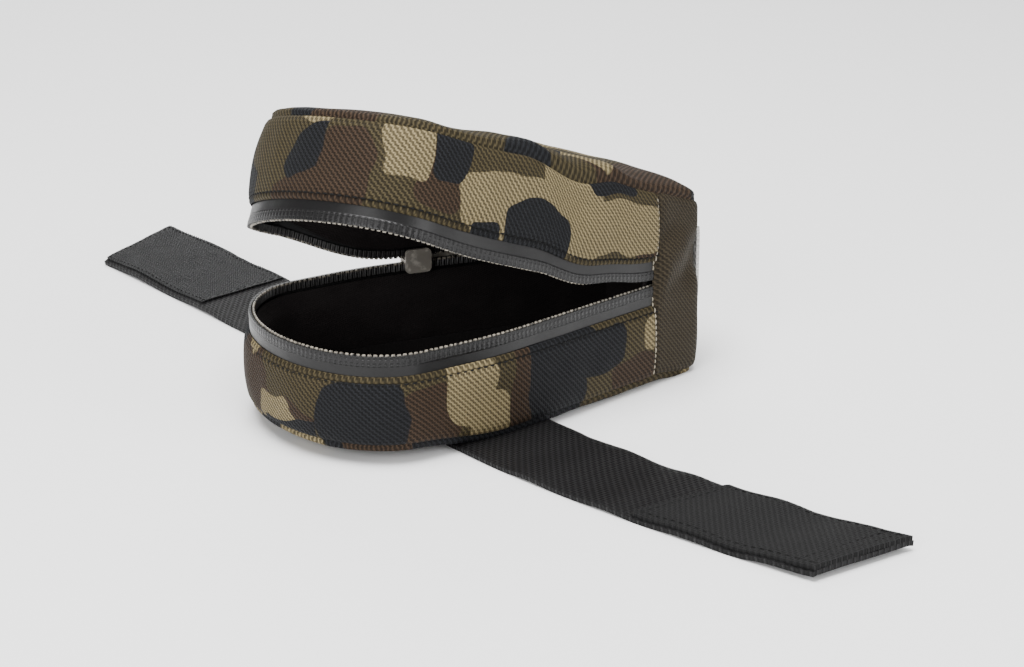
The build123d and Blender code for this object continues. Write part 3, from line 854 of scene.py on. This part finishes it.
runs = np.linspace(near_seam - 4 * MM, far_seam + 4 * MM, 261)
heights = zip_z + np.array([tape_edge, 1.6 * MM, 2.4 * MM, 3.6 * MM, 4.4 * MM, 6 * MM, tape_show,
                            tape_show + 1 * MM, tape_show + 4 * MM])
soft = rumple(wall_grid(runs, heights, 0), 20 * MM, 15) * 0.3 * MM
grid = wall_grid(runs, heights, swell[::-1] + soft - tape_inset + rim_spread(wall_grid(runs, heights, 0)))
grid[..., 2] += rim_sway(grid)
lid_tape = bend_lid(film.on(sew("lid_tape", grid, cut_at(runs, heights), 0.7 * MM)))
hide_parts("lid_zip_tape", "heel_zip_tape_near", "heel_zip_tape_far")
spots, along, out = wall_path(zip_runs, zip_z + head_middle, coil_inset)
spots += out * rim_spread(spots)[:, None]
spots[:, 2] += rim_sway(spots)
lid_coil = bend_lid(row("lid_coil", [(spots, -along, out)], tooth, coil_pitch, nylon, 0.04))
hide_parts("lid_zip_coil", "heel_zip_coil_near", "heel_zip_coil_far")
spots, along, out = wall_path(zip_runs, edge_above, stitch_out)
spots += out * rim_spread(spots)[:, None]
spots[:, 2] += rim_sway(spots)
lid_edge_stitches = bend_lid(row("lid_edge_stitches", [(spots, along, out)], stitch, stitch_pitch, thread))

# ---------------------------------------------------------------- spine
# One plain olive-brown piece is wrapped round the flat end and sewn to both walls of base and
# lid at the upright side seams. A stiffener keeps its face flat; its wings are creased.
olive_cloth = Finish("spine_cloth", "spine_fabric", Specular_IOR_Level=0.12)
across, up = olive_cloth.across_and_up()
yarn = woven(olive_cloth, across, up, yarn_pitch)
tone_and_glint_specks = olive_cloth.cloud(across, up, 0.9 * MM, 1.0)
stain = olive_cloth.cloud(across, up, 14 * MM, 2.0)
colour = olive_cloth.blend(stain, (0.026, 0.020, 0.012, 1), (0.036, 0.028, 0.017, 1))
# The weave is painted in as on the camouflage: painted highlight on the yarn crests, painted shade in the
# gaps, and specks partly of real yarn tone and partly painted glints.
olive_cloth.wear(olive_cloth.shade(colour, 0.12 + yarn ** 1.8 * 0.9 + tone_and_glint_specks * 0.5), 0.78 - yarn * 0.12,
                 yarn + tone_and_glint_specks * 0.3, 0.35 * MM, 0.8)

wing = around - far_seam
runs = np.concatenate([np.linspace(far_seam, around, 70)[:-1], np.linspace(around, around + near_seam, 70)])
point, normal = on_outline(runs)
rise_share = np.linspace(0, 1, 60)
low, high = bottom_at(point[:, 0]), top_at(point[:, 0])
heights = low[None] + rise_share[:, None] * (high - low)[None]
from_seam = np.minimum(runs - far_seam, around + near_seam - runs)
flat_spots = wall_grid(runs, heights, 0)
on_wing = 1 - smooth(wing * 0.55, wing * 1.05, from_seam)
slant = (from_seam * 0.9 - flat_spots[..., 2])
crease = np.sin(slant / (7.5 * MM) + 2.2 * rumple(flat_spots, 26 * MM, 31)) \
    * smooth(0.42, 0.6, rise_share)[:, None] * (1 - smooth(0.72, 0.9, rise_share))[:, None]
near_wing = smooth(-8 * MM, -16 * MM, flat_spots[..., 1])
shape = (1.7 * MM * crease * on_wing + rumple(flat_spots, 21 * MM, 32) * 0.6 * MM
         + 0.9 * MM * np.sin(np.pi * rise_share)[:, None]) * (0.15 + 0.85 * near_wing)
off_edge = np.clip(np.minimum(heights - low, high - heights) / (2.4 * MM), 0, 1)
turned_in = -edge_turn * (1 - np.sqrt(1 - (1 - off_edge)**2))
seam_roll = -1.3 * MM * (1 - smooth(0, 1.3 * MM, from_seam))

# The far wing lies flat and close, so that the zip's pull swings clear of it.
far_wing = smooth(spine_half - 6 * MM, spine_half, flat_spots[..., 1])
grid = wall_grid(runs, heights, shape * smooth(0, 4 * MM, from_seam) + turned_in + seam_roll
                 + (0.25 - 1.2 * far_wing) * MM)
spine_wrap = olive_cloth.on(sew("spine_wrap", grid, cut_at(runs, rise_share * 0.067, (0, 0.3)), cloth))
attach(spine_wrap, "case")
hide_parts("spine_panel")

pale_thread = spun(Finish("tan_thread", "thread", Specular_IOR_Level=0.4, Sheen_Weight=0.2),
                   (0.12, 0.10, 0.07, 1), (0.36, 0.32, 0.24, 1))


def upright_path(run, low, high):
    """A path up both walls and the tapes between them at one place on the outline, for a row."""
    point, normal = on_outline(np.full(60, run))
    heights = np.linspace(low, high, 60)
    base_share = np.clip((heights - bottom_seam) / (zip_z - tape_show - bottom_seam), 0, 1)
    lid_share = np.clip((heights - zip_z - tape_show) / (top_at(seam_x) - zip_z - tape_show), 0, 1)
    bow = wall_bulge * (np.sin(np.pi * base_share).clip(0)**0.7 + np.sin(np.pi * lid_share).clip(0)**0.7)
    on_tape = 1 - smooth(tape_show - 1 * MM, tape_show + 1 * MM, np.abs(heights - zip_z))
    outwards = (bow + 0.95 * MM) * (1 - on_tape)
    spots = np.column_stack([point + normal * outwards[:, None], heights])
    return spots, np.tile((0.0, 0.0, 1.0), (60, 1)), np.column_stack([normal, np.zeros(60)])


seam_paths = [upright_path(seam, low, high) for seam in (near_seam + 0.8 * MM, far_seam - 0.8 * MM)
              for low, high in ((bottom_seam + 1.5 * MM, zip_z - 5.5 * MM),
                                (zip_z + 5.5 * MM, top_at(seam_x) - 1.5 * MM))]
side_seam_stitches = row("side_seam_stitches", seam_paths, stitch, 1.9 * MM, pale_thread, 0.3)
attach(side_seam_stitches, "case")

# ---------------------------------------------------------------- lining
# A thin black woven lining hangs inside base and lid, sewn to the zip tapes above and creased
# in the corners of floor and wall.
black_cloth = Finish("black_lining", "lining", Sheen_Weight=0.01, Specular_IOR_Level=0.1)
across, up = black_cloth.across_and_up()
yarn = woven(black_cloth, across, up, 0.6 * MM)
lint = black_cloth.cloud(across, up, 12 * MM, 3.0)
colour = black_cloth.blend(lint, (0.010, 0.008, 0.008, 1), (0.020, 0.017, 0.017, 1))
# The weave is painted in: painted highlight on the yarn crests and painted shade in the gaps between them.
black_cloth.wear(black_cloth.shade(colour, 0.6 + yarn * 0.6), 0.85 - yarn * 0.1, yarn + lint * 2, 0.2 * MM,
                 0.6)
wall_inset = 4.0 * MM
floor_at = 8.0 * MM


def bag(name, top, floor, seed):
    """A lining bag: a wall from the zip tape to the floor or ceiling, and that floor."""
    sides = 240
    runs = np.arange(sides) / sides * around
    point, normal = on_outline(runs)
    middle = np.stack([np.clip(point[:, 0], nose_x + 6 * MM, spine_x - 26 * MM), point[:, 1] * 0], -1)
    rows = []
    for share in np.linspace(0, 1, 14):
        inset = wall_inset - (wall_inset - 2.0 * MM) * (1 - smooth(0, 0.3, share))
        rows.append((inset, top + (floor - top) * share, 0))
    rows += [(wall_inset, floor, step) for step in np.linspace(0, 1, 14)[1:]]
    grid = np.zeros((len(rows), sides, 3))
    for i, (inset, height, step) in enumerate(rows):
        edge = point - normal * inset
        grid[i, :, :2] = edge + (middle - edge) * step
        grid[i, :, 2] = height
    away = rumple(grid, 18 * MM, seed) * 0.5 * MM
    grid[1:, :, :2] -= (normal[None] * np.abs(away)[..., None])[1:]
    grid[14:, :, 2] += np.abs(away[14:]) * np.sign(top - floor)
    run_down = np.cumsum(np.concatenate([[0], np.abs(np.diff([row[1] for row in rows])) + 1.5 * MM]))
    return grid, cut_at(runs, run_down)


grid, cut = bag("base_lining_bag", zip_z - 4.8 * MM, floor_at, 41)
base_lining = black_cloth.on(sew("base_lining_bag", grid, cut, 0.5 * MM, closed=True, flip=False))
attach(base_lining, "case")
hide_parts("base_lining", "base_floor_foam", "base_wall_foam", "base_seam_binding")

grid, cut = bag("lid_lining_bag", zip_z + 4.8 * MM, top_seam - 3.8 * MM, 42)
up_share = np.clip((grid[..., 2] - zip_z) / (top_seam - zip_z), 0, 1)
grid[..., 2] -= (top_seam - top_at(grid[..., 0])) * up_share - fold_hump(grid) * 0.6
lid_lining = bend_lid(black_cloth.on(sew("lid_lining_bag", grid, cut, 0.5 * MM, closed=True, flip=True)))
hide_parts("lid_lining", "heel_lining", "lid_top_foam", "heel_top_foam", "lid_wall_foam",
            "heel_wall_foam_far", "lid_seam_binding")

# The strip of lining across the spine, which joins the two bags where there is no zip.
runs = np.linspace(far_seam - 3 * MM, around + near_seam + 3 * MM, 90)
heights = np.linspace(zip_z - 9 * MM, zip_z + 9 * MM, 12)
sag = rumple(wall_grid(runs, heights, 0), 14 * MM, 43) * 0.3 * MM
grid = wall_grid(runs, heights, sag - 3.2 * MM)
spine_lining = black_cloth.on(sew("spine_lining_strip", grid, cut_at(runs, heights), 0.5 * MM))
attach(spine_lining, "case")
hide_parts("spine_lining")

# ---------------------------------------------------------------- light loop on the spine
# A pale webbing loop is sewn across the flat face by its two ends and bows out between them,
# wide enough to take a clip-on light.
loop_low, loop_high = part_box("spine_loop")
pale_webbing = Finish("pale_webbing", "reflective_loop", Sheen_Weight=0.2, Specular_IOR_Level=0.5)
across, up = pale_webbing.across_and_up()
yarn = woven(pale_webbing, across, up, 1.1 * MM)
soil = pale_webbing.cloud(across, up, 7 * MM, 3.0)
colour = pale_webbing.blend(soil, (0.42, 0.41, 0.39, 1), (0.58, 0.57, 0.55, 1))
# The weave is painted in: painted highlight on the yarn crests and painted shade in the gaps between them.
pale_webbing.wear(pale_webbing.shade(colour, 0.6 + yarn * 0.4), 0.55 + soil * 0.2, yarn, 0.4 * MM, 0.9)
places = np.linspace(loop_low.y, loop_high.y, 70)
from_end = np.minimum(places - loop_low.y, loop_high.y - places)
bow = smooth(5 * MM, 15 * MM, from_end)
levels = np.linspace(loop_low.z, loop_high.z, 15)
edge = np.abs(np.linspace(-1, 1, 15))**8
grid = np.zeros((15, 70, 3))
loop_depth = loop_high.x - loop_low.x - 2.2 * MM
grid[..., 0] = loop_low.x + 2.1 * MM + loop_depth * bow[None] - 0.25 * MM * edge[:, None]
grid[..., 1] = places[None]
grid[..., 2] = levels[:, None]
cut = np.stack(np.meshgrid(places, levels), -1)
light_loop = pale_webbing.on(sew("light_loop", grid, cut, 1.2 * MM))
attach(light_loop, "case")
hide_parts("spine_loop")
ends = []
for place in (loop_low.y + 1.6 * MM, loop_low.y + 3.8 * MM, loop_high.y - 3.8 * MM, loop_high.y - 1.6 * MM):
    spots = np.column_stack([np.full(20, loop_low.x + 2.15 * MM), np.full(20, place),
                             np.linspace(loop_low.z + 1 * MM, loop_high.z - 1 * MM, 20)])
    ends.append((spots, np.tile((0.0, 0.0, 1.0), (20, 1)), np.tile((1.0, 0.0, 0.0), (20, 1))))
loop_stitches = row("loop_stitches", ends, stitch, 2.3 * MM, thread)
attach(loop_stitches, "case")

# ---------------------------------------------------------------- strap
# One length of black nylon webbing runs across under the base and is sewn to it. Its tails lie
# on the ground: the near one is doubled at its end, the far one carries the hook tape.
webbing = Finish("nylon_webbing", "webbing", Specular_IOR_Level=0.13)
across, up = webbing.across_and_up()
rib = woven(webbing, across, up * 0.8, 1.15 * MM)
fuzz = webbing.cloud(across, up, 0.8 * MM, 2.0)
wave = webbing.cloud(across, up, 25 * MM, 2.0)
colour = webbing.blend(fuzz * 0.5 + wave * 0.5, (0.004, 0.0038, 0.004, 1), (0.013, 0.0125, 0.013, 1))
# The ribs are painted in: painted highlight on the rib crests and painted shade in the gaps between them.
webbing.wear(webbing.shade(colour, 0.35 + rib * 0.9), 0.62 - rib * 0.22 + fuzz * 0.1, rib + fuzz * 0.3,
             0.45 * MM, 0.9)
strap_width = strap_high.x - strap_low.x
strap_cloth = 1.6 * MM
rest_gap = 0.15 * MM
near_end_y = -177 * MM
near_bow = 30 * MM
far_end_y = 206 * MM


def strap_spot(y, share):
    """Where the strap's lower face lies: y along it, share from -1 to 1 across it."""
    y, share = np.broadcast_arrays(np.asarray(y, float), np.asarray(share, float))
    near = np.clip((-35 * MM - y) / (near_end_y + 35 * MM) * -1, 0, None)
    far = np.clip((y - 47 * MM) / (far_end_y - 47 * MM), 0, None)
    middle = strap_mid + near_bow * near**1.55 - 10.5 * MM * far
    slide = far**5 * (1 * MM + 8 * MM * share)
    lift = (smooth(0.25, 0.6, far) * (0.5 + 0.5 * share) * 4.0 * MM + smooth(0.82, 1.02, near) * 1.6 * MM
            + 0.7 * MM * np.sin(y / (9.5 * MM))**2 * np.clip(near * 4, 0, 1) * smooth(0, 0.15, 1 - near)
            + 0.8 * MM * np.sin(y / (16 * MM))**2 * np.clip(far * 3, 0, 1))
    return np.stack([middle + share * strap_width / 2, y + slide, rest_gap + lift], -1)


def strap_strip(name, start, end, low, thick, margin=0.0, seed=51):
    """A piece of the strap between two places along it, from low above its lower face."""
    rows = int(abs(end - start) / (1.6 * MM)) + 2
    y = np.linspace(start, end, rows)[:, None]
    share = np.linspace(-1, 1, 27)[None] * (1 - 2 * margin / strap_width)
    grid = strap_spot(y, share)
    rounded = np.abs(np.linspace(-1, 1, 27))[None] ** 14
    grid[..., 2] += low + thick - rounded * thick * 0.3
    grid[..., 2] += np.abs(rumple(grid, 14 * MM, seed)) * 0.25 * MM
    cut = np.stack(np.broadcast_arrays(share * strap_width / 2 + 1, y + 2), -1)
    return sew(name, grid, cut, thick, flip=end < start)


def bend_at(piece):
    """Bake a strap piece's placement into its mesh."""
    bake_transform(piece)


near_split, far_split = -93 * MM, 112 * MM
under_reach = 32 * MM
strap_under = webbing.on(strap_strip("strap_under", -under_reach, under_reach, 0, strap_cloth))
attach(strap_under, "case")
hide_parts("strap_middle")
near_root = webbing.on(strap_strip("near_root_webbing", -under_reach, near_split, 0, strap_cloth))
bend_at(near_root)
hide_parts("near_strap_plain")
near_end = webbing.on(strap_strip("near_end_webbing", near_split, near_end_y, 0, strap_cloth))
bend_at(near_end)
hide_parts("near_strap_end")
far_root = webbing.on(strap_strip("far_root_webbing", under_reach, far_split, 0, strap_cloth))
bend_at(far_root)
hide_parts("far_strap_plain")
far_end = webbing.on(strap_strip("far_end_webbing", far_split, far_end_y, 0, strap_cloth))
bend_at(far_end)
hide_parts("far_strap_end")

pile = Finish("loop_pile", "loop_pile", Sheen_Weight=0.02, Sheen_Roughness=0.6, Specular_IOR_Level=0.12)
across, up = pile.across_and_up()
tufts = woven(pile, across, up, 1.0 * MM)
fuzz = pile.cloud(across, up, 0.45 * MM, 3.0)
colour = pile.blend(fuzz, (0.003, 0.003, 0.0032, 1), (0.012, 0.0118, 0.012, 1))
# The tufts are painted in: painted highlight on their tops and painted shade between them.
pile.wear(pile.shade(colour, 0.4 + tufts * 0.8), 0.9 - tufts * 0.15, tufts * 0.7 + fuzz, 0.4 * MM, 1.0)
pad_thick = 1.4 * MM
pad_gap = 0.05 * MM
near_pad_y, far_pad_y = -116 * MM, 127.5 * MM
near_pile = pile.on(strap_strip("near_loop_pile_tape", near_pad_y, near_end_y, strap_cloth + pad_gap,
                                pad_thick, 0.5 * MM, 52))
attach(near_pile, "near_end")
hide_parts("near_loop_pile")
hook_ground = Finish("hook_ground", "hook_tape", Specular_IOR_Level=0.2)
across, up = hook_ground.across_and_up()
rib = woven(hook_ground, across, up, 0.9 * MM)
dust = hook_ground.cloud(across, up, 5 * MM, 3.0)
colour = hook_ground.blend(dust, (0.004, 0.004, 0.0045, 1), (0.010, 0.010, 0.0105, 1))
# The ribs are painted in: painted highlight on the rib crests and painted shade in the gaps between them.
hook_ground.wear(hook_ground.shade(colour, 0.5 + rib * 0.6), 0.6 - rib * 0.15, rib, 0.3 * MM, 0.8)
hook_margin = 1.6 * MM
ground_thick = 0.7 * MM
hook_tape = hook_ground.on(strap_strip("far_hook_tape_ground", far_pad_y, far_end_y, strap_cloth + pad_gap,
                                       ground_thick, hook_margin, 53))
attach(hook_tape, "far_end")
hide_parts("far_hook_tape")


def hook_shape(shape, height=0.95 * MM, wire=0.14 * MM):
    """One moulded hook: a stalk that leans and curls over along X."""
    path = [(0, 0, -0.2 * MM), (0.02 * MM, 0, height * 0.6), (0.25 * MM, 0, height),
            (0.6 * MM, 0, height * 0.8)]
    wire_tube(shape, path, wire, 4, "Y", 0.5)


def strap_path(start, end, share, height, count=60):
    """A path on the strap's top, straight in share, for a row: start and end are (y, share)."""
    y = np.linspace(start, end, count)
    spots = strap_spot(y, np.linspace(*share, count))
    along = np.gradient(spots, axis=0)
    along /= np.linalg.norm(along, axis=1, keepdims=True)
    spots[:, 2] += height
    return spots, along, np.tile((0.0, 0.0, 1.0), (count, 1))


hook_plastic = Finish("hook_plastic", "hook_tape", Specular_IOR_Level=0.6)
haze = hook_plastic.speckle(300.0)
hook_plastic.wear(hook_plastic.blend(haze, (0.005, 0.005, 0.0055, 1), (0.014, 0.014, 0.015, 1)),
                  0.3 + haze * 0.3, haze, 0.05 * MM)
hook = helper("one_hook", hook_shape)
columns = [strap_path(far_pad_y + 2 * MM, far_end_y - 2.5 * MM, (share, share), strap_cloth + ground_thick)
           for share in np.linspace(-0.86, 0.86, 19)]
hooks = row("far_hooks", columns, hook, 1.55 * MM, hook_plastic, 0.2)
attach(hooks, "far_end")

pad_top = strap_cloth + pad_thick + 0.12 * MM
edge_share = 1 - 5.5 * MM / strap_width
near_rows = [strap_path(near_pad_y - 2 * MM, near_end_y + 2 * MM, (share, share), pad_top)
             for share in (-edge_share, edge_share)]
near_rows += [strap_path(y, y, (-edge_share, edge_share), pad_top)
              for y in (near_pad_y - 2 * MM, near_end_y + 3 * MM, near_end_y + 6.5 * MM)]
near_stitches = row("near_strap_stitches", near_rows, stitch, 2.7 * MM, thread)
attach(near_stitches, "near_end")
hook_top = strap_cloth + ground_thick + 0.12 * MM
hook_edge = 1 - 6 * MM / strap_width
far_rows = [strap_path(far_pad_y + 1 * MM, far_end_y - 1.5 * MM, (share, share), hook_top)
            for share in (-hook_edge, hook_edge)]
far_rows += [strap_path(y, y, (-hook_edge, hook_edge), hook_top)
             for y in (far_pad_y + 1.2 * MM, far_end_y - 1.4 * MM)]
far_stitches = row("far_strap_stitches", far_rows, stitch, 2.7 * MM, thread)
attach(far_stitches, "far_end")

# ---------------------------------------------------------------- slider and hidden pieces
# A die-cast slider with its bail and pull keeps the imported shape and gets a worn, grey-brown
# plated finish. The stiffener and the sewn tack under the base are plain and out of sight.
plated = Finish("plated_metal", "slider_metal", Metallic=0.4, Specular_IOR_Level=0.5)
wear = plated.speckle(420.0, 5.0)
brush = plated.speckle(90.0)
plated.wear(plated.blend(wear.rise(0.45, 0.7), (0.34, 0.31, 0.27, 1), (0.62, 0.58, 0.52, 1)),
            0.32 + brush * 0.25, wear * 0.5 + brush, 0.08 * MM)
stiff_sheet = Finish("stiff_sheet", "board", Specular_IOR_Level=0.4)
grain = stiff_sheet.speckle(1500.0)
stiff_sheet.wear(stiff_sheet.blend(grain, (0.02, 0.02, 0.02, 1), (0.04, 0.04, 0.04, 1)), 0.5 + grain * 0.2,
                 grain, 0.05 * MM)
for node, finish in (("zip_slider", plated), ("slider_bail", plated), ("slider_pull", plated),
                     ("spine_board", stiff_sheet), ("strap_tack", thread)):
    for slot in frame["nodes"][node].material_slots:
        slot.material = finish.material
